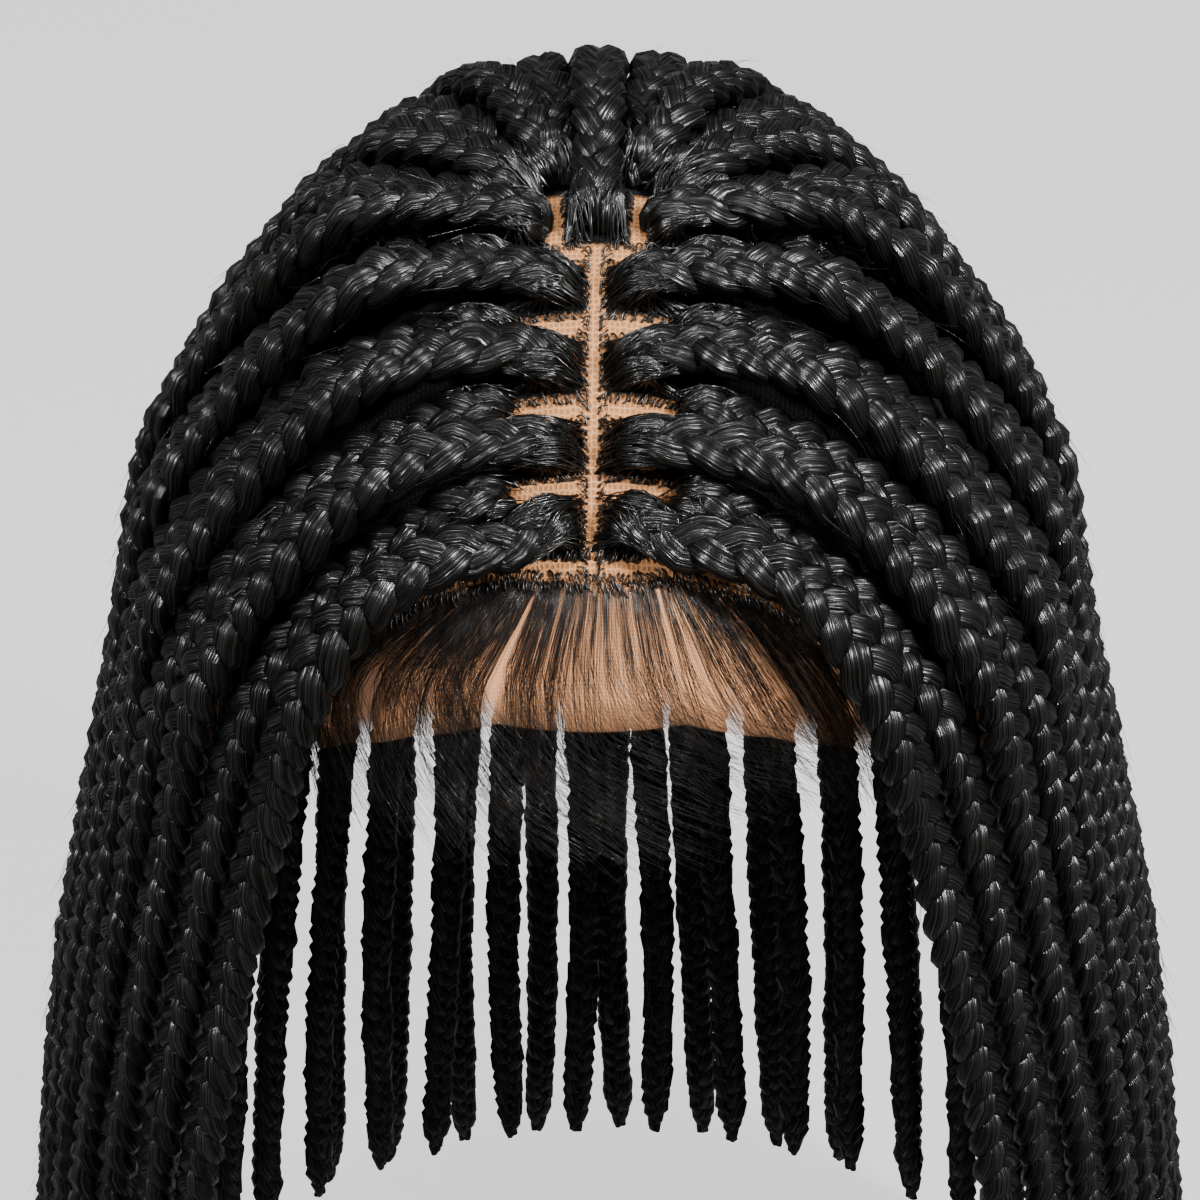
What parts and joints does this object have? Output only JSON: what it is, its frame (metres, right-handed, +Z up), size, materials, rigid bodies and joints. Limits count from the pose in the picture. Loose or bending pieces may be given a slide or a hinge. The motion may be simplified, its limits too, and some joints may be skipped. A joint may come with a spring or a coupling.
{
  "type": "braid wig",
  "caption": "Knotless box-braid wig on a full-lace cap with a centre parting, a sheer lace front and baby hair, in the form that it has when worn.",
  "frame": {"origin": "inner crown of the cap, where the top of the head carries the wig", "axes": "+Z up, -Y out of the face, +X to the viewer's right"},
  "size_m": [0.3068, 0.2338, 0.3976],
  "materials": {
    "cap_lace": "tan woven lace mesh with black hair knots",
    "sheer_lace": "sheer tan lace net",
    "fine_hair": "fine loose black hair with a soft sheen",
    "braid_hair": "braided black synthetic fibre with a speckled sheen",
    "under_hair": "braided black synthetic fibre, in the shade of the outer braids"
  },
  "bodies": {
    "root": {"lace_cap": "cap_lace", "lace_front": "sheer_lace", "baby_hair": "fine_hair", "braid_left_00": "braid_hair", "braid_left_01": "braid_hair", "braid_left_02": "braid_hair", "braid_left_03": "braid_hair", "braid_left_04": "braid_hair", "braid_left_05": "braid_hair", "braid_left_06": "braid_hair", "braid_left_07": "braid_hair", "braid_left_08": "braid_hair", "braid_left_09": "braid_hair", "braid_left_10": "braid_hair", "braid_left_11": "braid_hair", "braid_left_12": "braid_hair", "braid_left_13": "braid_hair", "braid_left_14": "braid_hair", "braid_left_15": "braid_hair", "braid_left_16": "braid_hair", "braid_left_17": "braid_hair", "braid_left_18": "braid_hair", "braid_left_19": "braid_hair", "braid_right_00": "braid_hair", "braid_right_01": "braid_hair", "braid_right_02": "braid_hair", "braid_right_03": "braid_hair", "braid_right_04": "braid_hair", "braid_right_05": "braid_hair", "braid_right_06": "braid_hair", "braid_right_07": "braid_hair", "braid_right_08": "braid_hair", "braid_right_09": "braid_hair", "braid_right_10": "braid_hair", "braid_right_11": "braid_hair", "braid_right_12": "braid_hair", "braid_right_13": "braid_hair", "braid_right_14": "braid_hair", "braid_right_15": "braid_hair", "braid_right_16": "braid_hair", "braid_right_17": "braid_hair", "braid_right_18": "braid_hair", "braid_right_19": "braid_hair", "braid_centre_back": "braid_hair", "under_braids_left": "under_hair", "under_braids_right": "under_hair"}
  },
  "joints": []
}
